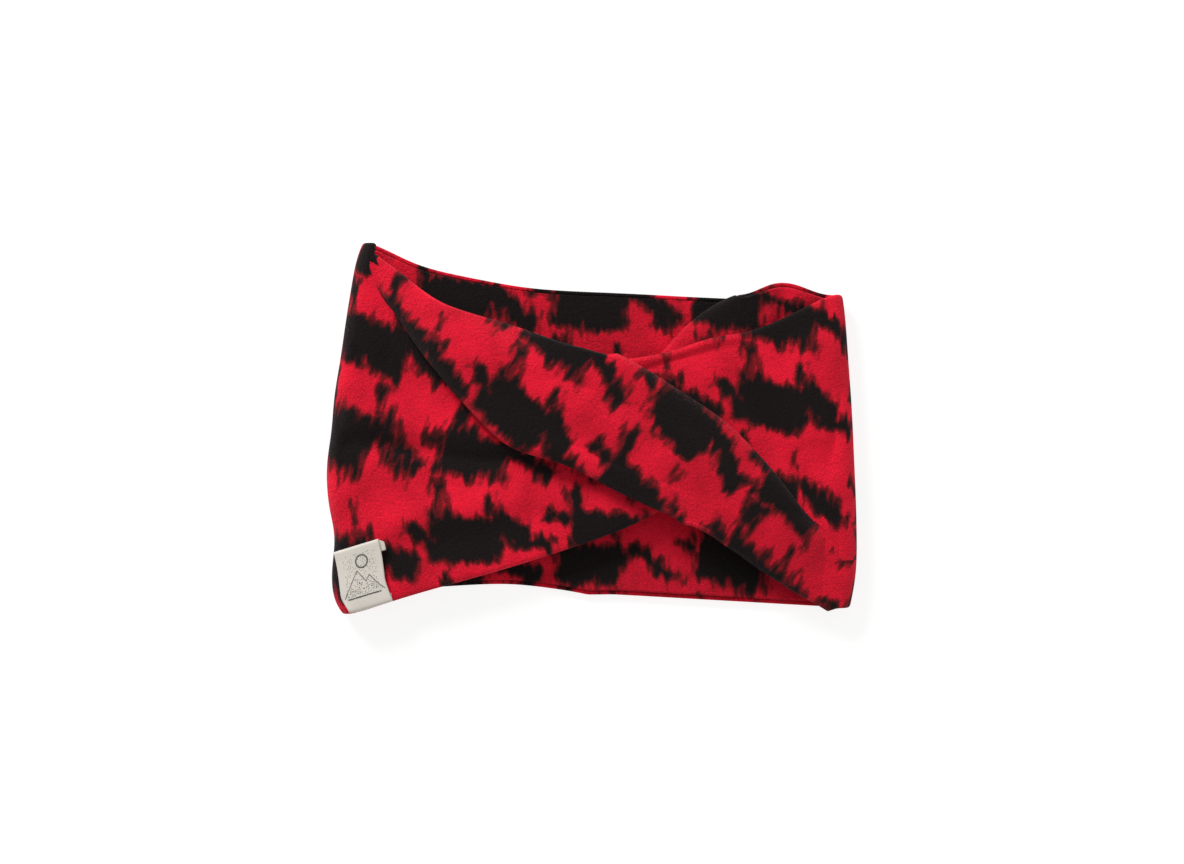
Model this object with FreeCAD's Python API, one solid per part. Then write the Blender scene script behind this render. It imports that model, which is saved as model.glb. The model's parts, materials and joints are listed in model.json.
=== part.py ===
"""Twist neck gaiter: a double fleece loop lying flat, with a diagonal roll and a folded label.

Millimetres, +Z up. X runs along the flat width, Y from the bottom hem to the top hem.
The origin is at the middle of the loop's footprint, on the surface that it lies on.
"""
import FreeCAD
import Part
import math
import os

V = FreeCAD.Vector

# Cloth, across its thickness
FLEECE = 2.2            # one layer of brushed fleece
PLY_GAP = 0.6           # loose space between the two layers, where the seams lie
OPENING = 7.2           # height of the neck opening while the loop lies flat
THREAD = 0.4            # thickness of a flattened seam thread
SEAM_WIDTH = 1.0        # width that a row of stitches takes
SEAM_INSET = 3.5        # seam line to the rolled hem edge
ROLL_RISE = 9.0         # how far the diagonal roll stands above the front panel

# Heights, from the table up
PANEL = 2 * FLEECE + PLY_GAP
TOP = 2 * PANEL + OPENING
MIDDLE = TOP / 2
EPS = 0.3               # trimmed off the underside, so that it is one plane

# Where the side folds stand at a few heights of the band: y, left x, right x
SIDE_FOLDS = [
    (-98.6, -134.4, 137.0),
    (-78.0, -138.0, 139.2),
    (-40.0, -139.6, 139.6),
    (0.0, -138.0, 138.0),
    (40.0, -132.6, 135.0),
    (72.0, -126.8, 133.2),
    (98.6, -122.4, 132.0),
]

# Hem lines, left to right
BACK_TOP = [(-160, 98), (-118, 98.6), (-93, 85), (-62, 79), (-29, 74), (24, 72.3), (78, 70.5),
            (102, 80), (124, 71.2), (160, 70)]
FRONT_TOP = [(-160, 98), (-118, 98.6), (-98, 86), (-66, 66.5), (-33, 56), (0, 45), (20, 41),
             (50, 46.5), (80, 52.5), (107, 60.5), (130, 70.5), (160, 71)]
BACK_BOTTOM = [(-160, -98), (-130, -98.4), (-118, -96), (-82, -87.5), (-33, -86.5), (43, -87),
               (105, -91.5), (136, -94.5), (160, -95)]
FRONT_BOTTOM = [(-160, -98), (-130, -98.4), (-106, -91), (-69, -81), (-24, -67.5), (10, -56.5),
                (32, -48.5), (53, -58), (81, -74), (105, -90), (136, -94.5), (160, -95)]

# The diagonal roll: its lower edge, its upper edge and its share of the full rise
ROLL_STATIONS = [
    ((-115, 90), (-108, 92), 0.30),
    ((-100, 54), (-70, 67), 0.75),
    ((-66, 11), (-14, 48), 1.0),
    ((-6, -23), (39, 24), 1.0),
    ((52, -52), (84, -10), 1.0),
    ((97, -76), (113, -46), 0.75),
    ((126, -89), (131, -72), 0.35),
]

# Folded label, sewn into the bottom hem near the left fold
LABEL_WIDTH = 24.5
LABEL_LENGTH = 32.0
LABEL_PLY = 0.4
LABEL_INNER_GAP = 0.3
LABEL_TURN_UNDER = 6.0              # length of the free end that is folded under
LABEL_CLEARANCE = 0.35
LABEL_HINGE = (-117.8, -93.6)       # middle of its sewn edge
LABEL_ANGLE = 17.0                  # its sewn edge, measured from X
LABEL_SEAM_INSET = 7.5              # seam that catches the label's tail, from the sewn edge
LABEL_SEAM_LENGTH = 17.0
LABEL_SEAM_SHIFT = 2.5              # the seam keeps to the flat of the panel, off the side fold


def spline_edge(points, z=0.0):
    """A smooth edge through hem points at one height."""
    curve = Part.BSplineCurve()
    curve.interpolate([V(x, y, z) for x, y in points])
    return curve.toShape()


def hem_prism(top_line, bottom_line, z_low, z_high, top_shift=0.0, bottom_shift=0.0):
    """A block that lies between a top hem and a bottom hem."""
    top = spline_edge([(x, y + top_shift) for x, y in top_line], z_low)
    bottom = spline_edge([(x, y + bottom_shift) for x, y in bottom_line], z_low)
    left = Part.makeLine(bottom.valueAt(bottom.FirstParameter), top.valueAt(top.FirstParameter))
    right = Part.makeLine(top.valueAt(top.LastParameter), bottom.valueAt(bottom.LastParameter))
    outline = Part.Wire(Part.__sortEdges__([top, right, bottom, left]))
    return Part.Face(outline).extrude(V(0, 0, z_high - z_low))


def fold_section(y, x_left, x_right, inset):
    """One flattened loop outline: two straight panels and two round side folds."""
    low = inset
    high = TOP - inset
    radius = (high - low) / 2
    a = x_left + inset + radius
    b = x_right - inset - radius
    bottom = Part.LineSegment(V(a, y, low), V(b, y, low))
    right = Part.Arc(V(b, y, low), V(b + radius, y, MIDDLE), V(b, y, high))
    top = Part.LineSegment(V(b, y, high), V(a, y, high))
    left = Part.Arc(V(a, y, high), V(a - radius, y, MIDDLE), V(a, y, low))
    return Part.Wire([edge.toShape() for edge in (bottom, right, top, left)])


def loop_block(inset):
    """Everything inside the loop surface that lies inset below the outer face."""
    return Part.makeLoft([fold_section(y, xl, xr, inset) for y, xl, xr in SIDE_FOLDS], True)


def hem_trim(solid, top_shift=0.0, bottom_shift=0.0):
    """Cut a loop to its hems: the front panel dips where the twist draws it in."""
    back = hem_prism(BACK_TOP, BACK_BOTTOM, -5, MIDDLE, top_shift, bottom_shift)
    front = hem_prism(FRONT_TOP, FRONT_BOTTOM, MIDDLE, TOP + 5, top_shift, bottom_shift)
    return solid.common(back).fuse(solid.common(front)).removeSplitter()


def fleece_layer(outer_inset, inner_inset):
    """One closed fleece tube between two insets."""
    return hem_trim(loop_block(outer_inset).cut(loop_block(inner_inset)))


def roll_section(lower, upper, share):
    """One domed section across the diagonal roll."""
    base = TOP - FLEECE / 2
    start = V(lower[0], lower[1], base)
    end = V(upper[0], upper[1], base)
    crown = (start + end) * 0.5 + V(0, 0, FLEECE / 2 + ROLL_RISE * share)
    return Part.Wire([Part.Arc(start, crown, end).toShape(), Part.makeLine(end, start)])


def seam_run(top_shift):
    """The seam thread that follows the top hem (shift < 0) or the bottom hem (shift > 0)."""
    clearance = (PLY_GAP - THREAD) / 2
    shell = loop_block(FLEECE + clearance).cut(loop_block(FLEECE + clearance + THREAD))
    if top_shift < 0:
        near = hem_trim(shell, top_shift, 0)
        far = hem_trim(shell, top_shift - SEAM_WIDTH, 0)
    else:
        near = hem_trim(shell, 0, top_shift)
        far = hem_trim(shell, 0, top_shift + SEAM_WIDTH)
    return near.cut(far)


def label_place(shape):
    """Turn a label drawn along +Y from the origin onto its place in the hem."""
    placed = shape.copy()
    placed.rotate(V(0, 0, 0), V(0, 0, 1), LABEL_ANGLE)
    placed.translate(V(LABEL_HINGE[0], LABEL_HINGE[1], TOP + LABEL_CLEARANCE))
    return placed


def folded_label():
    """One ply of woven ribbon, with its free end folded under."""
    thick = 2 * LABEL_PLY + LABEL_INNER_GAP
    outer = thick / 2
    inner = LABEL_INNER_GAP / 2
    end = LABEL_LENGTH - outer
    under = end - LABEL_TURN_UNDER
    upper = thick - LABEL_PLY
    edges = [
        Part.LineSegment(V(0, under, 0), V(0, end, 0)),
        Part.Arc(V(0, end, 0), V(0, end + outer, outer), V(0, end, thick)),
        Part.LineSegment(V(0, end, thick), V(0, 0, thick)),
        Part.LineSegment(V(0, 0, thick), V(0, 0, upper)),
        Part.LineSegment(V(0, 0, upper), V(0, end, upper)),
        Part.Arc(V(0, end, upper), V(0, end + inner, outer), V(0, end, LABEL_PLY)),
        Part.LineSegment(V(0, end, LABEL_PLY), V(0, under, LABEL_PLY)),
        Part.LineSegment(V(0, under, LABEL_PLY), V(0, under, 0)),
    ]
    profile = Part.Face(Part.Wire([edge.toShape() for edge in edges]))
    profile.translate(V(-LABEL_WIDTH / 2, 0, 0))
    return label_place(profile.extrude(V(LABEL_WIDTH, 0, 0)))


def label_seam():
    """The short seam that holds the label's tail between the two fleece layers."""
    corner = V(LABEL_SEAM_SHIFT - LABEL_SEAM_LENGTH / 2, LABEL_SEAM_INSET, 0)
    strip = Part.makeBox(LABEL_SEAM_LENGTH, SEAM_WIDTH, THREAD, corner)
    placed = label_place(strip)
    depth = LABEL_CLEARANCE + FLEECE + (PLY_GAP + THREAD) / 2
    placed.translate(V(0, 0, -depth))
    return placed


def closing_seam():
    """The seam across the band that closes it into a loop, in the middle of the back panel."""
    reach = 12.0
    low = BACK_BOTTOM[4][1] + reach
    high = BACK_TOP[5][1] - reach
    z = FLEECE + (PLY_GAP - THREAD) / 2
    return Part.makeBox(SEAM_WIDTH, high - low, THREAD, V(-SEAM_WIDTH / 2, low, z))


def outer_layer():
    """The outer fleece tube, its diagonal roll and its flat underside."""
    roll = Part.makeLoft([roll_section(*station) for station in ROLL_STATIONS], True)
    tube = fleece_layer(0, FLEECE).fuse(roll).removeSplitter()
    sole = Part.makeBox(400, 400, 20, V(-200, -200, EPS - 20))
    return tube.cut(sole)


def write(name, shape):
    """Lower a finished piece onto the ground plane, check it and write its STEP file."""
    shape.translate(V(0, 0, -EPS))
    solids = shape.Solids
    box = shape.optimalBoundingBox()
    print(f"{name:22s} solids {len(solids)} valid {shape.isValid()} volume {shape.Volume:9.1f} "
          f"x {box.XMin:7.2f} {box.XMax:7.2f} y {box.YMin:7.2f} {box.YMax:7.2f} "
          f"z {box.ZMin:6.2f} {box.ZMax:6.2f}")
    shape.exportStep(f"parts/{name}.step")


os.makedirs("parts", exist_ok=True)
write("outer_fleece", outer_layer())
write("lining_fleece", fleece_layer(FLEECE + PLY_GAP, PANEL))
write("top_seam_thread", seam_run(-SEAM_INSET))
write("bottom_seam_thread", seam_run(SEAM_INSET))
write("closing_seam_thread", closing_seam())
write("folded_label", folded_label())
write("label_seam_thread", label_seam())
axis = (math.cos(math.radians(LABEL_ANGLE)), math.sin(math.radians(LABEL_ANGLE)))
hinge_z = TOP - EPS + LABEL_CLEARANCE + 1.5 * LABEL_PLY + LABEL_INNER_GAP
print(f"label hinge at {LABEL_HINGE} z {hinge_z:.3f} axis {axis[0]:.5f} {axis[1]:.5f}")
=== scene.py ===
# %% [markdown]
# # A twist neck gaiter, lying flat
# The gaiter is one long band of double fleece, closed into a loop. It lies on its back panel.
# Where the maker twisted the band, the front panel lies in a broad diagonal roll: the cloth goes
# under the roll from the left, folds back to its lower edge, passes over its top, folds in again
# at its upper edge and comes out to the right. The loop is therefore modelled as one continuous
# band whose cross rows follow that route, and not as separate patches.

# %% Load the fixed frame
import json
import math
import bmesh
import bpy
import numpy as np
from mathutils import Matrix, Vector


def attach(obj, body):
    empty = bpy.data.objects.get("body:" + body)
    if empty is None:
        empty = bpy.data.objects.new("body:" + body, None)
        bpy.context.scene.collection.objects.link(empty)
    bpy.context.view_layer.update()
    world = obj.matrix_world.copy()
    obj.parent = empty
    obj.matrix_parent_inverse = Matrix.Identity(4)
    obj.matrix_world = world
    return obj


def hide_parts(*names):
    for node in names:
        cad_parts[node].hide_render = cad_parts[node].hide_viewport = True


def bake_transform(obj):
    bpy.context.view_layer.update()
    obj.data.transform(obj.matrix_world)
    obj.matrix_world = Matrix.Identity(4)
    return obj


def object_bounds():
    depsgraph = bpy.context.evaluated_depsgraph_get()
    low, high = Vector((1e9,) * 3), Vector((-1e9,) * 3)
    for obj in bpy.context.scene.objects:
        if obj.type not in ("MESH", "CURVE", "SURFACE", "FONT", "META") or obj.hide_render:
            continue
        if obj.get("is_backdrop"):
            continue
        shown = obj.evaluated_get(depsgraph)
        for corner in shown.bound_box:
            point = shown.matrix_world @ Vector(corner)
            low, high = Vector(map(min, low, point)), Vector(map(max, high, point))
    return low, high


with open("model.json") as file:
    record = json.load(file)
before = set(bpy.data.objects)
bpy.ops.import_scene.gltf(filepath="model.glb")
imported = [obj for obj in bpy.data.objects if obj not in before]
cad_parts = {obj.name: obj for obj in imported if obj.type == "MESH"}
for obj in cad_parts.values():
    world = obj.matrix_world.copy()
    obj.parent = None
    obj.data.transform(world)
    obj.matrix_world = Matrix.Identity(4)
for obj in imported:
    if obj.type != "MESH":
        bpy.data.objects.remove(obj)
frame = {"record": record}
cad_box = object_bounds()
MM = 0.001
print("CAD box", cad_box)

# %% [markdown]
# ## Lines of the lying cloth
# Every line below is in millimetres on the ground plane: the side folds, the hems of the back
# panel, the hems of the front panel and the two edges of the roll. Each is drawn by a few points
# and smoothed by one helper, so that a line can be moved by moving a point.

# %% A smooth line through a few points
def smooth_line(points):
    """A Catmull-Rom line through points, as a function of 0..1 along its length."""
    pts = np.array(points, float)
    pts = np.vstack([2 * pts[0] - pts[1], pts, 2 * pts[-1] - pts[-2]])
    steps = np.linspace(0, 1, 13)[:-1, None]
    run = []
    for a, b, c, d in zip(pts, pts[1:], pts[2:], pts[3:]):
        run.append(0.5 * (2 * b + (c - a) * steps + (2 * a - 5 * b + 4 * c - d) * steps ** 2
                          + (3 * b - a - 3 * c + d) * steps ** 3))
    run = np.vstack(run + [pts[-2:-1]])
    along = np.concatenate([[0], np.cumsum(np.linalg.norm(np.diff(run, axis=0), axis=1))])
    along /= along[-1]
    return lambda t: np.stack([np.interp(t, along, run[:, k]) for k in range(run.shape[1])], -1)


# %% Side folds, hems and the edges of the roll
LEFT_FOLD = smooth_line([(-131, -97.5), (-136, -90), (-137, -76), (-135, -57), (-138.6, -40),
                         (-139.6, -20), (-137, -3), (-135.6, 16), (-132.4, 35), (-130.3, 50),
                         (-128.3, 63), (-124, 88), (-120.5, 97)])
RIGHT_FOLD = smooth_line([(136, -94.6), (139.3, -75), (139.5, -50), (138.4, -20), (137, 10),
                          (135, 38), (133.6, 58), (132, 70)])
LEFT_HEM = smooth_line([(-128, -97), (-106, -90), (-82, -83.6), (-56, -77), (-24, -67.6),
                        (9, -56.6), (31, -46)])
RIGHT_HEM = smooth_line([(8, 42), (31, 42.6), (50, 46.6), (62, 51), (79, 52.2), (96, 56.6),
                         (119, 66.3), (130, 71)])
ROLL_LOWER = smooth_line([(-115, 92), (-112, 74), (-106.5, 64), (-90, 39.6), (-71, 16.6),
                          (-52, -4), (-42.7, -11), (-29.6, -15.6), (-14, -19.5), (10.7, -32.6),
                          (39, -46), (68, -61.4), (100, -78.4), (119, -88), (134, -94.6)])
ROLL_UPPER = smooth_line([(-114, 98), (-98, 86), (-82, 73.3), (-66, 66.3), (-33, 56.4),
                          (-14, 49), (1, 45.4), (24, 34), (54, 14.8), (73, 1.4), (96, -23),
                          (107.6, -38), (119, -52), (128.5, -59), (138, -65)])
BACK_TOP = smooth_line([(-120, 97), (-108, 91), (-93, 85), (-62, 79), (-29, 74.4), (24, 72.6),
                        (60, 71.2), (84, 70.6)])
BACK_TOP_TUCK = smooth_line([(76, 71), (93, 77.6), (101, 80), (113, 76), (124, 71.4), (131, 70.5)])
BACK_BOTTOM = smooth_line([(-130, -97.6), (-119, -96.4), (-99.7, -90.7), (-82, -87.4), (-33, -86.5),
                           (43, -87), (106, -91.7), (135, -95)])
TUCK_LINE = smooth_line([(75, 71), (57, 61), (40, 45), (22, 18), (8, -30), (5, -88)])

# %% [markdown]
# ## The band as a grid of points
# A row runs once round the loop at one height of the band. It is put together from stretches:
# the left side fold, the left of the front panel, the pleat under the roll's lower edge, the top
# of the roll, the pleat under its upper edge, the right of the front panel, the right side fold
# and the back panel with the small tuck at its upper right. A pleat is a Z: in, back and over.

# %% Cloth measures
PLY = 2.2               # one fleece layer
HALF = 1.15             # from the band's middle surface to the middle of one layer
LAYER = 5.2             # from one double layer to the next, stacked
TURN = LAYER / 2        # radius of a sharp fold, at the band's middle surface
FLOOR_GAP = 2.45        # middle surface of the back panel above the table
FRONT_LEVEL = 14.1      # middle surface of the front panel above the table
ROWS = 46
PLEAT_REACH = 24.0      # how far the cloth goes in under the roll
TUCK_REACH = 16.0
SIDE_SLOPE = 45.0       # over this width the front panel dips to the side folds
FADE_LENGTH = 14.0      # cloth that a pleat's points spread over where it has died out
SIDE_RADIUS = 4.9       # radius of a side fold at the hems
SIDE_SWELL = 0.8        # what the radius gains at mid height
ROLL_EASE = 7.0         # past the folded-in plies, the roll stays up for this much more
ROLL_FALL = 22.0        # and comes down over this width
CROWN = 1.5             # how far the roll domes over the plies inside it
TUCK_RISE = 4.4         # height of each ply of the back panel's tuck


# %% Small helpers for rows
def ease(x):
    """Smooth 0..1 step."""
    x = np.clip(x, 0, 1)
    return x * x * (3 - 2 * x)


def unit(a):
    return a / np.maximum(np.linalg.norm(a, axis=-1, keepdims=True), 1e-9)


def stretch(start, end, count):
    """Points from start to end, without the last one."""
    t = np.linspace(0, 1, count, endpoint=False)[:, None]
    return start + (end - start) * t


def fold_arc(centre, out, low, high, count, upward=True):
    """Half a turn about a horizontal edge: out is the direction that the fold bulges to."""
    phi = np.linspace(-0.5, 0.5, count + 2)[1:-1] * math.pi
    if not upward:
        phi = -phi
    radius = abs(high - low) / 2
    middle = (high + low) / 2
    flat = centre[None, :] + out[None, :] * (np.cos(phi) * radius)[:, None]
    return np.column_stack([flat, middle + np.sin(phi) * radius])


def at(point, z):
    return np.array([point[0], point[1], z])


def object_from(name, bm):
    """A new object in the scene, made from a bmesh, which is freed."""
    mesh = bpy.data.meshes.new(name)
    bm.to_mesh(mesh)
    bm.free()
    made = bpy.data.objects.new(name, mesh)
    bpy.context.scene.collection.objects.link(made)
    return made


def nearest(points, line):
    """For each point, its plain distance to a smooth line and where on the line that is."""
    q = np.linspace(0, 1, 161)
    gap = np.linalg.norm(np.atleast_2d(points)[:, None] - line(q)[None], axis=2)
    return gap.min(axis=1), q[gap.argmin(axis=1)]


def pleat(centre, into, depth, levels, scale, spread, edge_first):
    """The four stretches of a Z pleat: under, turn, back and the edge's fold. levels run from the
    low ply to the high ply.

    Where scale dies out, the points spread over the given step of the row, so that no face
    collapses.
    """
    low, mid, high = levels
    inner = centre + into * depth * scale
    under = stretch(at(centre, low), at(inner, low), 5)
    turn = fold_arc(inner, into, low, mid, 4)
    back = stretch(at(inner, mid), at(centre, mid), 5)
    edge = fold_arc(centre, -into, mid, high, 5)
    points = np.vstack([under, turn, back, edge])
    if edge_first:
        points = points[::-1]
    points[:, :2] += spread * np.linspace(-1, 1, len(points))[:, None]
    return points


# %% One row of the band, from its lower hem (v = 0) to its upper hem (v = 1)
ROLL_JOIN = 0.67        # where the lower hem goes under the roll, along ROLL_LOWER
UPPER_JOIN = 0.46       # where the upper hem goes under the roll, along ROLL_UPPER
PLEAT_END = 0.13        # height of the band at which the upper pleat has died out
SIDE_MARGIN = 8.0       # the upper pleat keeps this far from the right side fold
LOWER_FADE = 0.34       # share of the height over which the lower pleat grows from nothing
UPPER_FADE = 0.26       # the same for the upper pleat

# Parts of a row: name and number of points
STRETCHES = [("left", 26), ("lower_pleat", 19), ("roll", 34), ("upper_pleat", 19), ("right", 28),
             ("right_fold", 9), ("back_right", 12), ("tuck", 19), ("back", 44), ("left_fold", 9)]
COUNT = dict(STRETCHES)


def shares(name):
    """Even steps from 0 towards 1 along one stretch, without the last one."""
    return np.linspace(0, 1, COUNT[name] + 1)[:-1]


def bulge(line, t):
    """How far a line stands off the straight line between its ends, at each t."""
    return line(t) - (line(0) + (line(1) - line(0)) * t[:, None])


def part_of(line, start, end):
    """A stretch of a line as a line of its own."""
    return lambda t: line(start + (end - start) * np.asarray(t))


def normal_at(line, q):
    along = unit(line(min(q + 0.01, 1)) - line(max(q - 0.01, 0)))
    return np.array([-along[1], along[0]])


def lower_scale(v):
    return ease((1 - np.asarray(v)) / LOWER_FADE)


def upper_scale(v):
    return ease((v - PLEAT_END) / UPPER_FADE)


def roll_lift(points):
    """How far the plies folded in below hold up the top of the roll."""
    gap, q = nearest(points, part_of(ROLL_LOWER, 0, ROLL_JOIN))
    width = nearest(ROLL_LOWER(q * ROLL_JOIN), ROLL_UPPER)[0]
    reach = np.minimum(PLEAT_REACH, 0.5 * width) + TURN + ROLL_EASE
    from_low = lower_scale(1 - q) * (1 - ease((gap - reach) / ROLL_FALL))
    gap, q = nearest(points, part_of(ROLL_UPPER, UPPER_JOIN, 1))
    width = nearest(ROLL_UPPER(UPPER_JOIN + q * (1 - UPPER_JOIN)), ROLL_LOWER)[0]
    reach = np.minimum(PLEAT_REACH, 0.5 * width) + TURN + ROLL_EASE
    v = 1 - q * (1 - PLEAT_END)
    from_up = upper_scale(v) * (1 - ease((gap - reach) / ROLL_FALL))
    return 2 * LAYER * (from_low ** 4 + from_up ** 4) ** 0.25


def row_points(v):
    """The points of one row, as {stretch name: array of xyz}."""
    pinch = math.sin(math.pi * v) ** 0.6
    side_r = SIDE_RADIUS + SIDE_SWELL * pinch
    side_top = FLOOR_GAP + 2 * side_r
    left_start = LEFT_FOLD(v) + np.array([PLY + side_r, 0])
    right_end = RIGHT_FOLD(v) - np.array([PLY + side_r, 0])

    def front_level(points):
        """Height of the front panel, which dips to the flattened side folds."""
        to_left = np.linalg.norm(points - left_start, axis=-1)
        to_right = np.linalg.norm(points - right_end, axis=-1)
        share = ease(np.minimum(to_left, to_right) / SIDE_SLOPE)
        return side_top + (FRONT_LEVEL - side_top) * share

    q_low = ROLL_JOIN * (1 - v)
    lower = ROLL_LOWER(q_low)
    into_roll = normal_at(ROLL_LOWER, q_low)
    q_up = min(1.0, UPPER_JOIN + (1 - UPPER_JOIN) * max(0.0, (1 - v) / (1 - PLEAT_END)))
    upper = ROLL_UPPER(q_up)
    out_of_roll = normal_at(ROLL_UPPER, q_up)
    room = right_end[0] - SIDE_MARGIN - upper[0]
    upper = upper + (right_end + np.array([-SIDE_MARGIN, 0]) - upper) * float(ease(1 - room / 8))
    low_scale = lower_scale(v)
    up_scale = float(upper_scale(v)) * float(ease(room / 16))
    tuck_scale = float(ease((v - 0.35) / 0.5))
    low_depth = min(PLEAT_REACH, 0.5 * nearest(lower, ROLL_UPPER)[0][0])
    up_depth = min(PLEAT_REACH, 0.5 * nearest(upper, ROLL_LOWER)[0][0])
    edge = TURN + HALF + PLY / 2
    lower_c = lower + into_roll * edge * low_scale
    upper_c = upper - out_of_roll * edge * up_scale
    out = {}

    # left of the front panel
    leg = lower_c - left_start
    spread_low = unit(upper_c - left_start) * min(FADE_LENGTH / 2, 0.4 * np.linalg.norm(leg))
    spread_low = spread_low * (1 - low_scale)
    t = shares("left")
    line = left_start + (lower_c - spread_low - left_start) * t[:, None]
    line = line + bulge(LEFT_HEM, t) * (1 - v) ** 3
    out["left"] = np.column_stack([line, front_level(line)])

    # the pleat under the roll's lower edge
    z0 = float(front_level(lower_c))
    levels = [z0, z0 + LAYER * low_scale, z0 + 2 * LAYER * low_scale]
    folded = pleat(lower_c, into_roll, low_depth, levels, low_scale, spread_low, False)
    folded[:, 2] += (1 - low_scale) * (front_level(folded[:, :2]) - z0)
    out["lower_pleat"] = folded

    # over the top of the roll
    leg = right_end - upper_c
    spread_up = unit(right_end - lower_c) * min(FADE_LENGTH / 2, 0.4 * np.linalg.norm(leg))
    spread_up = spread_up * (1 - up_scale)
    t = shares("roll")
    line = lower_c + spread_low + (upper_c - spread_up - lower_c - spread_low) * t[:, None]
    line = line + bulge(part_of(ROLL_UPPER, 0, UPPER_JOIN), t) * v ** 5
    line = line + bulge(part_of(ROLL_LOWER, ROLL_JOIN, 1), t) * (1 - v) ** 5
    crown = CROWN * np.sin(math.pi * t) ** 0.7 * (0.35 + 0.65 * math.sin(math.pi * v))
    out["roll"] = np.column_stack([line, front_level(line) + roll_lift(line) + crown])

    # the pleat under its upper edge
    z1 = float(front_level(upper_c))
    levels = [z1, z1 + LAYER * up_scale, z1 + 2 * LAYER * up_scale]
    folded = pleat(upper_c, -out_of_roll, up_depth, levels, up_scale, spread_up, True)
    folded[:, 2] += (1 - up_scale) * (front_level(folded[:, :2]) - z1)
    out["upper_pleat"] = folded

    # right of the front panel and the right side fold
    t = shares("right")
    start = upper_c + spread_up
    line = start + (right_end - start) * t[:, None] + bulge(RIGHT_HEM, t) * v ** 4
    out["right"] = np.column_stack([line, front_level(line)])
    out["right_fold"] = fold_arc(right_end, np.array([1.0, 0.0]), FLOOR_GAP, side_top,
                                 COUNT["right_fold"], upward=False)

    # the back panel, with the tuck at its upper right
    inward = np.array([0.78, -0.62])
    tuck_c = TUCK_LINE(1 - v) + inward * edge * tuck_scale
    spread = unit(left_start - right_end) * FADE_LENGTH / 2 * (1 - tuck_scale)
    rise = TUCK_RISE * tuck_scale
    t = shares("back_right")
    line = right_end + (tuck_c - spread - right_end) * t[:, None]
    line = line + bulge(BACK_TOP_TUCK, 1 - t) * v ** 6
    out["back_right"] = np.column_stack([line, FLOOR_GAP + 2 * rise * ease(t * 1.3)])
    levels = [FLOOR_GAP, FLOOR_GAP + rise, FLOOR_GAP + 2 * rise]
    out["tuck"] = pleat(tuck_c, inward, TUCK_REACH, levels, tuck_scale, spread, True)
    t = shares("back")
    line = tuck_c + spread + (left_start - tuck_c - spread) * t[:, None]
    line = line + bulge(BACK_TOP, 1 - t) * v ** 5 + bulge(BACK_BOTTOM, 1 - t) * (1 - v) ** 5
    out["back"] = np.column_stack([line, np.full(len(line), FLOOR_GAP)])
    out["left_fold"] = fold_arc(left_start, np.array([-1.0, 0.0]), FLOOR_GAP, side_top,
                                COUNT["left_fold"])
    return out


# %% All rows
rows = [row_points(v) for v in np.linspace(0, 1, ROWS)]
band = np.array([np.vstack([row[name] for name, count in STRETCHES]) for row in rows])
column_part = np.repeat(np.arange(len(STRETCHES)), [count for name, count in STRETCHES])
print("band grid", band.shape)

# %% [markdown]
# ## Relaxing the band
# Cloth does not keep hard corners where one stretch of a row meets the next. A few rounds of
# averaging each point with its neighbours round them off. The pleats and side folds, which are
# tight in the real cloth as well, are averaged less than the open panels.

# %% Average with the neighbours
OPEN_PARTS = {"left", "roll", "right", "back_right", "back"}
names = [name for name, count in STRETCHES]
softness = np.array([0.5 if names[p] in OPEN_PARTS else 0.16 for p in column_part])
softness = np.convolve(np.r_[softness[-2:], softness, softness[:2]], np.ones(5) / 5, "valid")
for turn in range(5):
    around = (np.roll(band, 1, axis=1) + np.roll(band, -1, axis=1)) / 2
    band += (around - band) * softness[None, :, None]
    inner = (band[:-2] + band[2:]) / 2
    band[1:-1] += (inner - band[1:-1]) * 0.3

# %% [markdown]
# ## Letting the panels settle
# The open panels of the real gaiter are not drawn tight: between the roll and the side folds they
# hang a little under their own weight. That is a job for cloth simulation. The pleats, side folds
# and hems are pinned, because the three plies stacked in a pleat are likely to tangle, and the open
# panels may sag for a few frames. No point may move further than a small cap. The simulation only
# softens the panels: the folds themselves were laid out above.

# %% A short cloth simulation with the folds pinned
SAG_CAP = 1.6
SAG_FRAMES = 14


def settled(grid, free_share):
    """The grid after its free parts have sagged; free_share is 0 where it is pinned, up to 1."""
    count_v, count_u = grid.shape[:2]
    bm = bmesh.new()
    bmesh.ops.create_grid(bm, x_segments=count_u - 1, y_segments=count_v - 1, size=1.0)
    place = []
    for vert in bm.verts:
        i = round((vert.co.x + 1) / 2 * (count_u - 1))
        j = round((vert.co.y + 1) / 2 * (count_v - 1))
        place.append((j, i))
        vert.co = Vector(grid[j, i]) * MM
    cloth = object_from("settling", bm)
    mesh = cloth.data
    pins = cloth.vertex_groups.new(name="pins")
    for index, (j, i) in enumerate(place):
        pins.add([index], float(1 - free_share[j, i]), "REPLACE")
    modifier = cloth.modifiers.new("cloth", "CLOTH")
    modifier.settings.vertex_group_mass = "pins"
    modifier.settings.quality = 6
    modifier.settings.mass = 0.2
    modifier.settings.tension_stiffness = 12.0
    modifier.settings.compression_stiffness = 12.0
    modifier.settings.bending_stiffness = 0.6
    modifier.collision_settings.use_collision = False
    modifier.collision_settings.use_self_collision = False
    for number in range(1, SAG_FRAMES + 1):
        bpy.context.scene.frame_set(number)
    now = cloth.evaluated_get(bpy.context.evaluated_depsgraph_get()).data
    moved = np.array([vert.co for vert in now.vertices]) / MM
    result = grid.copy()
    for (j, i), point in zip(place, moved):
        step = point - grid[j, i]
        length = np.linalg.norm(step)
        result[j, i] += step * min(1.0, SAG_CAP / max(length, 1e-6))
    bpy.data.objects.remove(cloth)
    bpy.data.meshes.remove(mesh)
    bpy.context.scene.frame_set(1)
    return result


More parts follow.
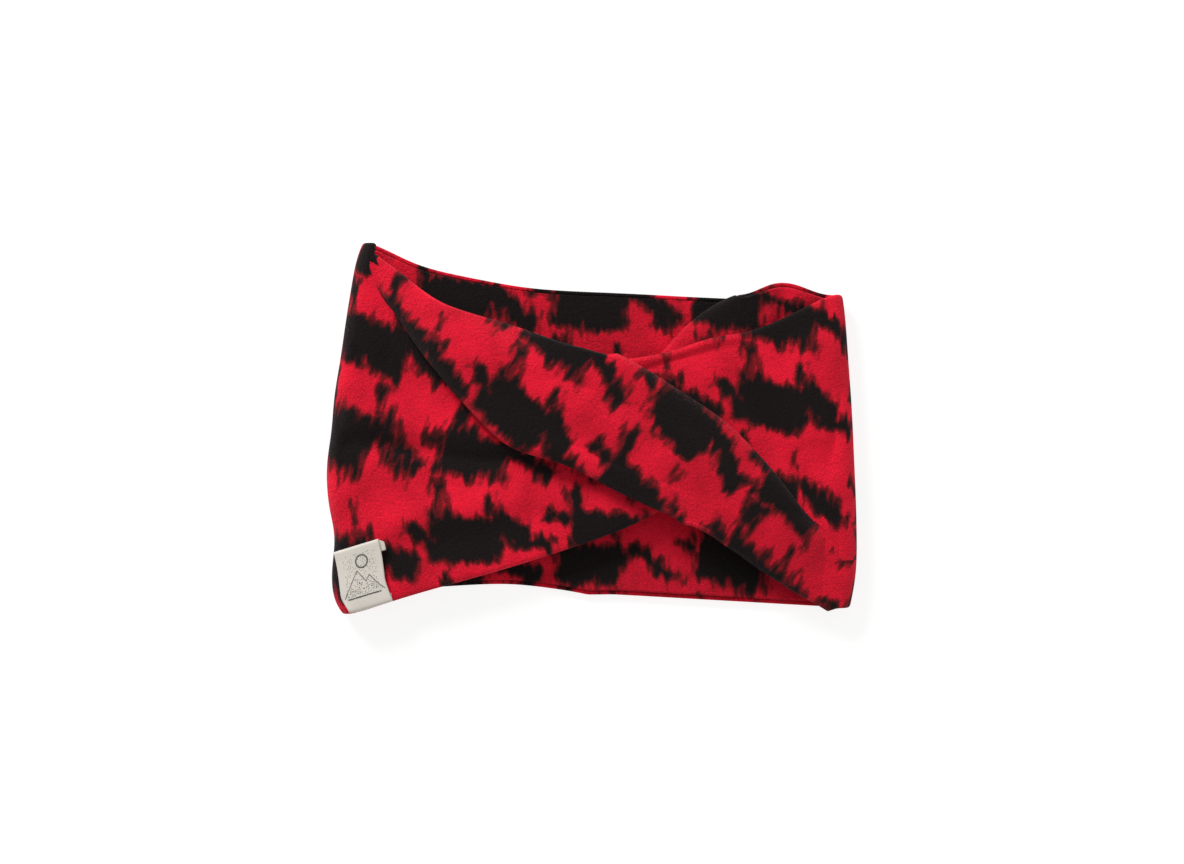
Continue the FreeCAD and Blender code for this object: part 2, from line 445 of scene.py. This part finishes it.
# %% Where the band may sag, and the sag itself
row_share = np.sin(np.linspace(0, math.pi, ROWS))[:, None]
free = np.zeros(band.shape[:2])
for part in ("left", "roll", "right"):
    columns = np.flatnonzero(column_part == names.index(part))
    free[:, columns] = row_share * np.sin(np.linspace(0, math.pi, len(columns)))[None]
before = band.copy()
band = settled(band, np.clip(free, 0, 1))
print("largest sag, mm", round(float(np.abs(band - before).max()), 2))

# %% [markdown]
# ## Soft folds in the front panel
# The front panel is pulled towards the roll, so soft ridges and hollows run into the roll from
# both sides. They are too shallow for a pleat. Each is a line with a width and a height, and the
# cloth near it is raised or lowered by a smooth hump across the line.

# %% Ridges (height above 0) and hollows (below 0): parts of a row, line, half width, height
SOFT_FOLDS = [
    ("left", [(-136, -6), (-97, -10.6), (-60, -16.4), (-31, -16.4), (3, -29)], 6.0, -3.2),
    ("left", [(-134, 5), (-95, 2), (-66, -4), (-36, -6)], 8.0, 2.0),
    ("left", [(-123, -57), (-93, -48), (-55, -40), (-31, -37)], 7.0, 2.1),
    ("left", [(-120, -72), (-80, -62), (-40, -54)], 8.0, -1.5),
    ("left", [(-128, 40), (-104, 30), (-86, 18)], 7.0, -1.3),
    ("right", [(23, 34.6), (37, 39.3), (53, 44), (67, 47.7), (80, 49)], 3.2, 1.9),
    ("right", [(26, 30), (45, 36), (70, 43)], 3.6, -1.6),
    ("right", [(134, 8), (128, -7), (123, -24)], 5.0, -2.6),
    ("right", [(120, 50), (112, 20), (116, -10)], 10.0, 1.9),
    ("right", [(66, 30), (90, 4), (112, -30)], 7.0, -1.4),
    ("roll", [(-84, 52), (-40, 28), (4, -2), (60, -36)], 14.0, 1.5),
    ("roll", [(-64, 28), (-30, 8), (10, -18)], 7.0, -0.9),
    ("back_right", [(99.7, 78), (100.5, 64), (98, 50)], 3.6, -3.4),
    ("back_right", [(110, 77), (112, 62)], 6.0, 2.4),
]
for part, points, half_width, height in SOFT_FOLDS:
    columns = np.flatnonzero(column_part == names.index(part))
    zone = band[:, columns].reshape(-1, 3)
    gap, q = nearest(zone[:, :2], smooth_line(points))
    fade = ease(np.minimum(q, 1 - q) / 0.12 + 0.25)
    zone[:, 2] += height * np.exp(-(gap / half_width) ** 2) * fade
    band[:, columns] = zone.reshape(ROWS, len(columns), 3)
print("soft folds", len(SOFT_FOLDS))

# %% [markdown]
# ## Two layers from one band
# The outer fleece and the lining are sewn along both hems, right sides together, then turned out.
# Both layers keep the same distance from the band's middle surface. At each hem the outer fleece
# rolls round the edge and ends on the inner side, where the lining starts, so the lining is cut a
# little narrower. Only a tenth of a millimetre is left between the layers, so in tight folds they
# cut into each other, mostly out of sight.

# %% Directions on the band
HEM_FACING = 0.5        # least upward part of the normals in the hem rows that must face up


def band_frame(grid):
    """Outward normals, and the directions that point out over the lower and the upper hem."""
    across = np.roll(grid, -1, axis=1) - np.roll(grid, 1, axis=1)
    up = np.gradient(grid, axis=0)
    normal = unit(np.cross(across, up))
    for turn in range(2):
        normal = unit(normal + 0.5 * (np.roll(normal, 1, axis=1) + np.roll(normal, -1, axis=1)))
    # Rows and columns run almost side by side where the roll starts at the lower hem and where
    # the left panel ends at the peak, so the cross product can tip over. The outer side faces up
    # along both. This does not part the plies: at the peak they lie at nearly one height and cut
    # through each other, which shows as a jagged edge.
    for part, rows in (("roll", slice(0, 3)), ("left", slice(-4, None))):
        columns = column_part == names.index(part)
        facing = normal[rows, columns]
        facing[..., 2] = np.maximum(facing[..., 2], HEM_FACING)
        normal[rows, columns] = unit(facing)
    lower = unit(np.cross(unit(across[0]), normal[0]))
    upper = -unit(np.cross(unit(across[-1]), normal[-1]))
    lower *= np.sign((lower * (grid[0] - grid[1])).sum(-1, keepdims=True))
    upper *= np.sign((upper * (grid[-1] - grid[-2])).sum(-1, keepdims=True))
    # At the peak the left panel's hem doubles back, so its rows give a steadier direction.
    left = column_part == names.index("left")
    upper[left] = unit(grid[-1, left] - grid[-2, left])
    return normal, lower, upper


def smooth_round(values, turns=3):
    for turn in range(turns):
        values = unit(values + 0.5 * (np.roll(values, 1, axis=0) + np.roll(values, -1, axis=0)))
    return values


normal, over_lower, over_upper = band_frame(band)
over_lower = smooth_round(over_lower)
over_upper = smooth_round(over_upper)
HEM_INSET = HALF + PLY / 2
for row, share in enumerate((1.0, 0.45, 0.12)):
    band[row] -= over_lower * HEM_INSET * share
    band[-1 - row] -= over_upper * HEM_INSET * share

HEM_TURNS = np.radians([32, 64, 96, 128])


def hem_rows(edge, outward, out_normal, angles):
    """Rows of the outer layer that roll round a hem."""
    return [edge + HALF * (outward * math.sin(a) + out_normal * math.cos(a)) for a in angles]


outer_grid = np.array(hem_rows(band[0], over_lower, normal[0], HEM_TURNS[::-1])
                      + list(band + normal * HALF)
                      + hem_rows(band[-1], over_upper, normal[-1], HEM_TURNS))
lining_grid = band - normal * HALF
print("outer grid", outer_grid.shape, "lining grid", lining_grid.shape)

# %% [markdown]
# ## The print's place on the cloth
# The print is a repeat that lies straight on the cloth, so it turns wherever the cloth turns: it
# runs down along the roll, nearly level on the left and right of the front panel, and level on
# the back panel. Each part of a row has its own turn and shift, kept in a UV map.

# %% Pattern turn and shift, part by part (degrees, millimetres)
PRINT_PLACES = {
    "roll": (-34.0, -37.7, -16.7),
    "left": (11.0, 0.0, 0.0),
    "right": (-6.0, 92.8, 20.7),
    "back": (0.0, -0.8, 64.2),
}
LEFT_BLOT = (-65.7, -59.3)      # the blot that the left of the print turns about
PEAK_TURN = 24.0                # how much further the print has turned at the peak
PRINT_UNIT = 0.01               # units of the print map per millimetre of cloth
PART_PRINT = {"left": "left", "lower_pleat": "roll", "roll": "roll", "upper_pleat": "roll",
              "right": "right", "right_fold": "right", "back_right": "back", "tuck": "back",
              "back": "back", "left_fold": "left"}


def print_uv(x, y, part):
    """Where a point of the cloth lies in the print, in millimetres."""
    turn, dx, dy = PRINT_PLACES[PART_PRINT[part]]
    if PART_PRINT[part] == "left":
        x, y = x - LEFT_BLOT[0], y - LEFT_BLOT[1]
        turn -= PEAK_TURN * float(ease((y + 30) / 120))
    c = math.cos(math.radians(turn))
    s = math.sin(math.radians(turn))
    return (x * c + y * s - dx, -x * s + y * c - dy)


FOLD_SIGN = {"left_fold": -1, "right_fold": 1}
FOLD_WRAP = 1.3         # cloth that passes round a side fold, per millimetre of height
ROLL_WRAP = 0.20        # up to this share of the height the roll's cloth wraps the right fold
PEAK_WRAP = 0.88        # above this share the left of the panel runs on round the peak


def cloth_piece(name, grid):
    """A closed loop of cloth from a grid of points, as a finished object with a print map."""
    count_v, count_u = grid.shape[:2]
    bm = bmesh.new()
    bmesh.ops.create_grid(bm, x_segments=count_u, y_segments=count_v - 1, size=1.0)
    uv = bm.loops.layers.uv.new("print")
    column = {}
    row_of = {}
    for vert in bm.verts:
        i = round((vert.co.x + 1) / 2 * count_u)
        j = round((vert.co.y + 1) / 2 * (count_v - 1))
        column[vert] = i
        row_of[vert] = j
        vert.co = Vector(grid[j, i % count_u]) * MM
    for face in bm.faces:
        first = min(column[vert] for vert in face.verts)
        part = names[column_part[first]]
        low_row = min(row_of[vert] for vert in face.verts)
        if part in ("right", "right_fold") and low_row < ROLL_WRAP * count_v:
            part = "roll"
        if part == "lower_pleat" and low_row > PEAK_WRAP * count_v:
            part = "left"
        face.smooth = True
        for loop in face.loops:
            x, y, z = [value / MM for value in loop.vert.co]
            x += FOLD_SIGN.get(names[column_part[first]], 0) * FOLD_WRAP * max(0.0, FRONT_LEVEL - z)
            loop[uv].uv = [k * PRINT_UNIT for k in print_uv(x, y, part)]
    bmesh.ops.remove_doubles(bm, verts=bm.verts, dist=1e-6)
    piece = object_from(name, bm)
    finer = piece.modifiers.new("finer", "SUBSURF")
    finer.levels = finer.render_levels = 1
    body = piece.modifiers.new("thickness", "SOLIDIFY")
    body.thickness = PLY * MM
    body.offset = 0
    print(name, "faces", len(piece.data.polygons))
    return piece


outer = cloth_piece("outer_fleece_cloth", outer_grid)
lining = cloth_piece("lining_fleece_cloth", lining_grid)

# %% [markdown]
# ## Shader expressions
# Every material below is arithmetic on sockets. One small class lets that arithmetic be written
# as Python: a sum of two wires is a Math node, and any other node comes from its node method.

# %% A wire: a socket that works in expressions
class Wire:
    def __init__(self, tree, socket=None):
        self.tree = tree
        self.socket = socket

    def node(self, kind, settings=None, inputs=None, out=0):
        """Any node: its settings first, then its inputs as values or wires."""
        made = self.tree.nodes.new(kind)
        for key, value in (settings or {}).items():
            if key == "stops":
                ramp = made.color_ramp
                while len(ramp.elements) < len(value):
                    ramp.elements.new(0.5)
                for element, (place, colour) in zip(ramp.elements, value):
                    element.position = place
                    element.color = colour
            else:
                setattr(made, key, value)
        for key, value in (inputs or {}).items():
            if isinstance(value, Wire):
                self.tree.links.new(value.socket, made.inputs[key])
            else:
                made.inputs[key].default_value = value
        return Wire(self.tree, made.outputs[out])

    def math(self, operation, first, second=None):
        inputs = {0: first} if second is None else {0: first, 1: second}
        return self.node("ShaderNodeMath", {"operation": operation}, inputs)

    def __add__(self, other):
        return self.math("ADD", self, other)

    __radd__ = __add__

    def __sub__(self, other):
        return self.math("SUBTRACT", self, other)

    def __rsub__(self, other):
        return self.math("SUBTRACT", other, self)

    def __mul__(self, other):
        return self.math("MULTIPLY", self, other)

    __rmul__ = __mul__

    def __truediv__(self, other):
        return self.math("DIVIDE", self, other)

    def __abs__(self):
        return self.math("ABSOLUTE", self)

    def __round__(self, digits=None):
        return self.math("ROUND", self)

    def larger(self, other):
        return self.math("MAXIMUM", self, other)

    def smaller(self, other):
        return self.math("MINIMUM", self, other)

    def step(self, low, high, start=0.0, end=1.0):
        """Smoothly from start to end as the value goes from low to high."""
        return self.node("ShaderNodeMapRange", {"interpolation_type": "SMOOTHSTEP"},
                         {"Value": self, "From Min": low, "From Max": high,
                          "To Min": start, "To Max": end})

    def mix(self, first, second):
        """A colour between two, by this value."""
        return self.node("ShaderNodeMix", {"data_type": "RGBA"},
                         {"Factor": self, 6: first, 7: second}, out=2)


def new_material(name):
    """A material with one Principled shader, the shader, and a wire to build on."""
    material = bpy.data.materials.new(name)
    material.use_nodes = True
    tree = material.node_tree
    shader = tree.nodes["Principled BSDF"]
    return material, shader, Wire(tree)


def feed(wire, shader, socket):
    wire.tree.links.new(wire.socket, shader.inputs[socket])

# %% [markdown]
# ## Brushed fleece with a blotch print
# The cloth is a brushed knit, printed in red and black. The print repeats one ragged blot: a
# block with a tall finger, a small horn, a tail that runs down to the next blot and a faint drip.
# Ink bleeds along the nap, so the blot's edges are frayed up and down and pass through dark red.
# The nap itself is fine noise in the bump, with a little sheen for the soft rim of brushed fibre.

# %% The repeat and the pieces of the blot (millimetres; centre x, y, turn, half width, half height)
REPEAT = 73.0
ROW_HEIGHT = 45.0
BLOT = [
    (0.0, 0.0, -9.0, 19.0, 12.0, 0.0),      # block
    (-14.5, 20.0, 6.0, 3.4, 10.0, 0.6),     # finger
    (-24.0, 8.0, -22.0, 7.0, 3.2, 0.6),     # horn
    (31.0, -1.0, -36.0, 16.0, 5.0, 0.0),    # tail
    (14.0, 18.0, 4.0, 3.4, 8.0, 2.4),       # drip
]
RED = (0.76, 0.0075, 0.030, 1)
DARK_RED = (0.17, 0.006, 0.010, 1)
BLACK = (0.0050, 0.0034, 0.0034, 1)


def blot_distance(x, y):
    """Distance to the nearest edge of the repeated blot, negative inside."""
    nearest_edge = None
    for cx, cy, turn, half_w, half_h, weak in BLOT:
        dx = x - cx
        dy = y - cy
        row = round(dy / ROW_HEIGHT)
        place = round(dx / REPEAT)
        dx = dx - place * REPEAT
        dy = dy - row * ROW_HEIGHT
        c = math.cos(math.radians(turn))
        s = math.sin(math.radians(turn))
        along = abs(dx * c + dy * s) - half_w
        across = abs(dy * c - dx * s) - half_h
        edge = along.larger(across) + weak
        nearest_edge = edge if nearest_edge is None else nearest_edge.smaller(edge)
    return nearest_edge


def print_place(w):
    """The point of the print map in millimetres, as two wires."""
    uv = w.node("ShaderNodeUVMap", {"uv_map": "print"})
    flat = w.node("ShaderNodeSeparateXYZ", inputs={0: uv})
    return [Wire(w.tree, flat.socket.node.outputs[k]) * (1 / PRINT_UNIT) for k in (0, 1)]


def toned(colour, factor):
    """A colour made lighter or darker, with its alpha kept at 1."""
    return tuple(c * factor for c in colour[:3]) + (1,)


def fleece_material(name, seed, tone):
    material, shader, w = new_material(name)
    x, y = print_place(w)

    def fbm(scale, stretch_x, stretch_y, shift, detail=2.0):
        place = w.node("ShaderNodeCombineXYZ",
                       inputs={0: x * stretch_x, 1: y * stretch_y, 2: seed + shift})
        return w.node("ShaderNodeTexNoise", inputs={"Vector": place, "Scale": scale,
                                                    "Detail": detail, "Roughness": 0.6})

    warp_x = x + (fbm(0.05, 1, 1, 1) - 0.5) * 12.0
    warp_y = y + (fbm(0.05, 1, 1, 2) - 0.5) * 12.0
    fray = (fbm(0.24, 1.0, 0.36, 3, 1.6) - 0.5) * 15.0
    fine = (fbm(1.2, 1.0, 0.7, 4, 2.0) - 0.5) * 2.6
    growth = (fbm(0.018, 1, 1, 7, 1.0) - 0.5) * 12.0
    edge = blot_distance(warp_x, warp_y) + fray + fine + growth
    ink = edge.step(4.4, -3.6)
    mottle = fbm(1.2, 1, 1, 5, 5.0)
    worn = (fbm(0.045, 1, 1, 9, 2.0) - 0.5) * 0.7
    red = (mottle + worn).step(0.2, 0.8).mix(toned(RED, 0.62 * tone), toned(RED, 1.24 * tone))
    dark = mottle.step(0.2, 0.8).mix(toned(BLACK, 0.5 * tone), toned(BLACK, 2.4 * tone))
    half = ink.step(0.0, 0.55).mix(red, DARK_RED)
    colour = ink.step(0.45, 1.0).mix(half, dark)
    feed(colour, shader, "Base Color")
    place = w.node("ShaderNodeTexCoord", out=3)
    nap = w.node("ShaderNodeTexNoise", inputs={"Vector": place, "Scale": 1500.0, "Detail": 4.0,
                                               "Roughness": 0.65})
    tuft = w.node("ShaderNodeTexNoise", inputs={"Vector": place, "Scale": 420.0, "Detail": 3.0})
    pile = w.node("ShaderNodeTexNoise", inputs={"Vector": place, "Scale": 900.0, "Detail": 3.0})
    bump = w.node("ShaderNodeBump", inputs={"Height": nap + tuft + pile, "Strength": 0.9,
                                            "Distance": 0.0009})
    feed(bump, shader, "Normal")
    shader.inputs["Roughness"].default_value = 0.92
    shader.inputs["Specular IOR Level"].default_value = 0.10
    shader.inputs["Sheen Weight"].default_value = 0.07
    shader.inputs["Sheen Roughness"].default_value = 0.55
    shader.inputs["Sheen Tint"].default_value = (1.0, 0.75, 0.78, 1)
    return material


outer.data.materials.append(fleece_material("printed_fleece_outer", 0.0, 1.0))
lining.data.materials.append(fleece_material("printed_fleece_lining", 31.0, 0.9))
print("materials", len(bpy.data.materials))

# %% [markdown]
# ## Seam threads
# Both hems are sewn all the way round, a few millimetres in from the rolled edge, and one more seam
# closes the band. It follows one column of the back panel, which slants from a little to well left
# of the middle. They are rows of separate stitches on the cloth's own middle surface, and they
# touch both layers. A short straight seam, made with the label, catches its tail.

# %% A row of stitches along a run of points
STITCH_PITCH = 3.0
STITCH_LENGTH = 2.5
THREAD_RADIUS = 0.2


def stitch_row(name, path):
    """Separate slim stitches along a run of points, in millimetres."""
    gaps = np.linalg.norm(np.diff(path, axis=0), axis=1)
    along = np.concatenate([[0], np.cumsum(gaps)])
    count = int(along[-1] / STITCH_PITCH)
    bm = bmesh.new()
    for place in (np.arange(count) + 0.5) * STITCH_PITCH:
        ends = [np.array([np.interp(place + half, along, path[:, k]) for k in range(3)])
                for half in (-STITCH_LENGTH / 2, STITCH_LENGTH / 2)]
        direction = Vector(ends[1] - ends[0])
        if direction.length < 0.4 * STITCH_LENGTH:
            continue
        turn = direction.to_track_quat("Z", "Y").to_matrix().to_4x4()
        size = Matrix.Diagonal((THREAD_RADIUS, THREAD_RADIUS, direction.length / 2, 1.0))
        centre = Matrix.Translation(Vector((ends[0] + ends[1]) / 2) * MM)
        bmesh.ops.create_uvsphere(bm, u_segments=6, v_segments=5, radius=1.0,
                                  matrix=centre @ Matrix.Scale(MM, 4) @ turn @ size)
    for face in bm.faces:
        face.smooth = True
    print(name, "stitches", count)
    return object_from(name, bm)


# %% The seams of the band
SEAM_ROW = 1            # the band's row that carries the hem seam, roughly 4 to 6 mm in
CLOSING_COLUMN = int(np.flatnonzero(column_part == names.index("back"))[18])


def closed(row):
    """A row of the band with its first point added again at its end."""
    return np.vstack([row, row[:1]])


top_seam = stitch_row("top_seam_stitches", closed(band[-1 - SEAM_ROW]))
bottom_seam = stitch_row("bottom_seam_stitches", closed(band[SEAM_ROW]))
closing_seam = stitch_row("closing_seam_stitches", band[3:-3, CLOSING_COLUMN])

# %% [markdown]
# ## The folded label
# The label is one ply of satin ribbon. Its tail tucks under its own root at the bottom hem. The
# ribbon turns up there and lies on the front panel, and its free end is folded under, a little
# askew, so that a corner of the underside peeps out. It is drawn as one long strip from a side
# profile. The strip lifts like a flap about the hem, and its root has to bend there; here it is
# drawn in one pose, laid out about the hinge of that flap.

# %% The label's frame and profile (millimetres; distance from the hinge, height)
flap = next(joint for joint in frame["record"]["behaviour"]["joints"] if joint["child"] == "label")
HINGE = np.array(flap["pos_m"]) / MM
ACROSS = np.array(flap["axis"])
UP_LABEL = np.array([-ACROSS[1], ACROSS[0], 0.0])
LABEL_WIDTH = 24.5
LABEL_PLY = 0.4
LABEL_ROWS = 60
LABEL_COLUMNS = 26
TAIL_END = 6.0          # length of the tail, before the printed face starts
STRIP_LENGTH = 44.0
LABEL_SKEW = 4.2        # how far its free end has slid sideways
UNDER_SKEW = 2.6        # how much further the folded-under end has slid, at its right edge
RIGHT_FLARE = 2.0       # how far the strip spreads at its root, on each side
LEFT_FLARE = 3.0
CORNER_PULL = 3.2       # the lower left corner is drawn in along the strip
CORNER_DROP = 3.4       # and the left edge sinks with the side fold below it
RIPPLE = 0.16
CAUGHT_HEIGHT = 13.4    # height of the seam that catches the tail
CAUGHT_HALF = 8.5       # half its length
LABEL_PROFILE = smooth_line([(3.2, 15.4), (0.8, 15.5), (-0.8, 16.1), (-0.9, 17.2), (0.9, 18.0),
                             (9.0, 18.05), (18.0, 17.8), (26.0, 17.9), (31.2, 18.1), (32.1, 17.6),
                             (31.3, 17.05), (28.0, 16.9), (25.5, 16.9)])


def label_point(side, t):
    """A point of the ribbon: side is -1..1 across it, t is 0..1 along it."""
    reach, height = LABEL_PROFILE(t)
    under = float(ease((t - 0.86) / 0.05))
    shift = UNDER_SKEW * under * (side + 1) / 2 + LABEL_SKEW * float(ease(reach / 32.0)) ** 0.8
    if side > 0:
        flare = RIGHT_FLARE * side * float(ease((0.42 - t) / 0.3))
    else:
        flare = -LEFT_FLARE * side * float(ease((0.36 - t) / 0.26))
    near_root = float(ease((0.34 - t) / 0.22))
    reach += CORNER_PULL * near_root * max(0.0, -side - 0.45) ** 2
    drop = CORNER_DROP * max(0.0, -side - 0.25) ** 2 * float(ease((t - 0.12) / 0.2))
    ripple = RIPPLE * math.sin(2.6 * side + 7.0 * t)
    place = HINGE + ACROSS * (side * LABEL_WIDTH / 2 + shift + flare) + UP_LABEL * reach
    return np.array([place[0], place[1], height - drop + ripple])


bm = bmesh.new()
bmesh.ops.create_grid(bm, x_segments=LABEL_COLUMNS, y_segments=LABEL_ROWS, size=1.0)
label_uv = bm.loops.layers.uv.new("print")
for face in bm.faces:
    face.smooth = True
    for loop in face.loops:
        side = loop.vert.co.x
        t = (loop.vert.co.y + 1) / 2
        loop[label_uv].uv = (side * LABEL_WIDTH / 2 * PRINT_UNIT,
                             (t * STRIP_LENGTH - TAIL_END) * PRINT_UNIT)
for vert in bm.verts:
    vert.co = Vector(label_point(vert.co.x, (vert.co.y + 1) / 2)) * MM
label = object_from("folded_ribbon_label", bm)
body = label.modifiers.new("thickness", "SOLIDIFY")
body.thickness = LABEL_PLY * MM
body.offset = 0
body.material_offset = 1            # the back and the cut edges are the ribbon's plain side
body.material_offset_rim = 1
caught = [HINGE + ACROSS * side + UP_LABEL * -0.2 + np.array([0, 0, CAUGHT_HEIGHT - HINGE[2]])
          for side in np.linspace(-CAUGHT_HALF, CAUGHT_HALF, 12)]
label_seam = stitch_row("label_seam_stitches", np.array(caught))

# %% [markdown]
# ## Ribbon and thread
# The ribbon is satin: smooth, with a fine slanting twill and a soft shine. Its printed face holds a
# small line drawing of two snowy peaks under a round sun, with scattered flakes, in fine black
# ink. There is no lettering. Thread is plain spun polyester with a twist that shows as fine bands.

# %% Satin ribbon with a small drawing
INK_WIDTH = 0.36
INK_COLOUR = (0.016, 0.015, 0.015, 1)


def drawing_ink(w, x, y, noise_at):
    """How much ink lies at a point of the ribbon, 0..1; x and y are in millimetres."""
    wobble = (noise_at(0.9, 2.0) - 0.5) * 1.1
    ridge = (19.0 - abs(x + 2.0) * 1.5).larger(15.5 - abs(x - 4.2) * 1.3)
    below = ridge - y + wobble

    def ring(cx, cy, radius):
        dx = x - cx
        dy = y - cy
        return abs(w.math("SQRT", dx * dx + dy * dy) - radius)

    sun = ring(1.2, 23.0, 3.1)
    outline = abs(below).larger(7.0 - y)
    ground = abs(y - 6.0 + wobble * 0.6).larger(abs(x) - 8.6)
    drawing = sun.smaller(outline).smaller(ground)
    lines = drawing.step(INK_WIDTH + 0.22, INK_WIDTH - 0.14)
    place = w.node("ShaderNodeCombineXYZ", inputs={0: x, 1: y, 2: 0.0})
    flakes = w.node("ShaderNodeTexVoronoi", inputs={"Vector": place, "Scale": 1.15,
                                                    "Randomness": 0.45})
    slope_dots = flakes.step(0.42, 0.30) * below.step(0.3, 1.0) * (y - 7.0).step(-0.4, 0.4)
    shade = noise_at(0.35, 2.0).step(0.34, 0.46)
    snow_dots = flakes.step(0.30, 0.20) * below.step(-0.6, -1.4) * (abs(x) - 8.8).step(0.4, -0.4)
    dots = (slope_dots * shade).larger(snow_dots * (y - 27.5).step(0.4, -0.4))
    worn = noise_at(3.0, 3.0).step(0.25, 0.5, 0.55, 1.0)
    return lines.larger(dots) * worn


def ribbon_material(name, printed):
    material, shader, w = new_material(name)
    x, y = print_place(w)

    def noise_at(scale, detail, stretch_y=1.0):
        place = w.node("ShaderNodeCombineXYZ", inputs={0: x, 1: y * stretch_y, 2: 3.0})
        return w.node("ShaderNodeTexNoise", inputs={"Vector": place, "Scale": scale,
                                                    "Detail": detail})

    thread = noise_at(5.0, 2.0, 0.25)
    colour = thread.mix((0.56, 0.515, 0.45, 1), (0.76, 0.715, 0.645, 1))
    if printed:
        colour = (drawing_ink(w, x, y, noise_at) * 0.93).mix(colour, INK_COLOUR)
    feed(colour, shader, "Base Color")
    twill = w.math("SINE", (x + y * 0.6) * 16.0)
    feed(w.node("ShaderNodeBump", inputs={"Height": twill * 0.5 + thread, "Strength": 0.22,
                                          "Distance": 0.0002}), shader, "Normal")
    shader.inputs["Roughness"].default_value = 0.46
    shader.inputs["Sheen Weight"].default_value = 0.2
    return material


def thread_material():
    material, shader, w = new_material("spun_thread")
    place = w.node("ShaderNodeTexCoord", out=3)
    twist = w.node("ShaderNodeTexNoise", inputs={"Vector": place, "Scale": 2600.0, "Detail": 2.0})
    feed(twist.mix((0.014, 0.012, 0.012, 1), (0.035, 0.031, 0.031, 1)), shader, "Base Color")
    feed(w.node("ShaderNodeBump", inputs={"Height": twist, "Strength": 0.5, "Distance": 0.0001}),
         shader, "Normal")
    shader.inputs["Roughness"].default_value = 0.7
    return material


label.data.materials.append(ribbon_material("satin_ribbon_printed", True))
label.data.materials.append(ribbon_material("satin_ribbon_plain", False))
spun_thread = thread_material()
for seam in (top_seam, bottom_seam, closing_seam, label_seam):
    seam.data.materials.append(spun_thread)
print("label faces", len(label.data.polygons))

# %% [markdown]
# ## Floor, light and camera
# The gaiter lies on a plain white table under two soft lights, seen from straight above.

# %% Floor and world
bm = bmesh.new()
bmesh.ops.create_grid(bm, x_segments=1, y_segments=1, size=3.0)
floor = object_from("table", bm)
floor_material, shader, w = new_material("white_table")
shader.inputs["Base Color"].default_value = (0.24, 0.24, 0.24, 1)
shader.inputs["Roughness"].default_value = 0.9
shader.inputs["Emission Color"].default_value = (1.0, 1.0, 0.995, 1)
shader.inputs["Emission Strength"].default_value = 0.82
floor.data.materials.append(floor_material)
floor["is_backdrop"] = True

scene = bpy.context.scene
scene.view_settings.view_transform = "Standard"
world = bpy.data.worlds.new("studio")
scene.world = world
world.use_nodes = True
background = world.node_tree.nodes["Background"]
background.inputs["Color"].default_value = (1.0, 1.0, 1.0, 1)
background.inputs["Strength"].default_value = 0.36
print("floor and world", floor.name, world.name)


def soft_light(name, place, size, energy):
    light = bpy.data.lights.new(name, "AREA")
    light.shape = "SQUARE"
    light.size = size
    light.energy = energy
    lamp = bpy.data.objects.new(name, light)
    lamp.location = place
    lamp.rotation_euler = (-Vector(place)).to_track_quat("-Z", "Y").to_euler()
    scene.collection.objects.link(lamp)
    return lamp


soft_light("key", (-0.9, 1.4, 1.0), 0.6, 36.0)
soft_light("fill", (1.1, -0.3, 1.6), 1.4, 8.0)

# %% Camera
FRAME_WIDTH = 0.6197     # metres of table across the picture
LENS = 85.0
camera_data = bpy.data.cameras.new("camera")
camera_data.lens = LENS
camera = bpy.data.objects.new("camera", camera_data)
camera.location = (0.0002, -0.0022, FRAME_WIDTH * LENS / camera_data.sensor_width + 0.014)
scene.collection.objects.link(camera)
scene.camera = camera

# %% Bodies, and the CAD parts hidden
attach(outer, "gaiter")
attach(lining, "gaiter")
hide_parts("outer_fleece")
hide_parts("lining_fleece")
for seam, node in ((top_seam, "top_seam_thread"), (bottom_seam, "bottom_seam_thread"),
                   (closing_seam, "closing_seam_thread"), (label_seam, "label_seam_thread")):
    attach(seam, "gaiter")
    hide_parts(node)
root = np.array([HINGE[0], HINGE[1], 15.95])
tuple(root * MM)
tuple((root + UP_LABEL * 0.53 + np.array([0, 0, 2.12])) * MM)
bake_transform(label)
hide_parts("folded_label")

# %% Sizes, and the end
({"cad": [list(corner) for corner in cad_box],
           "visual": [list(corner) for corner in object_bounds()]})
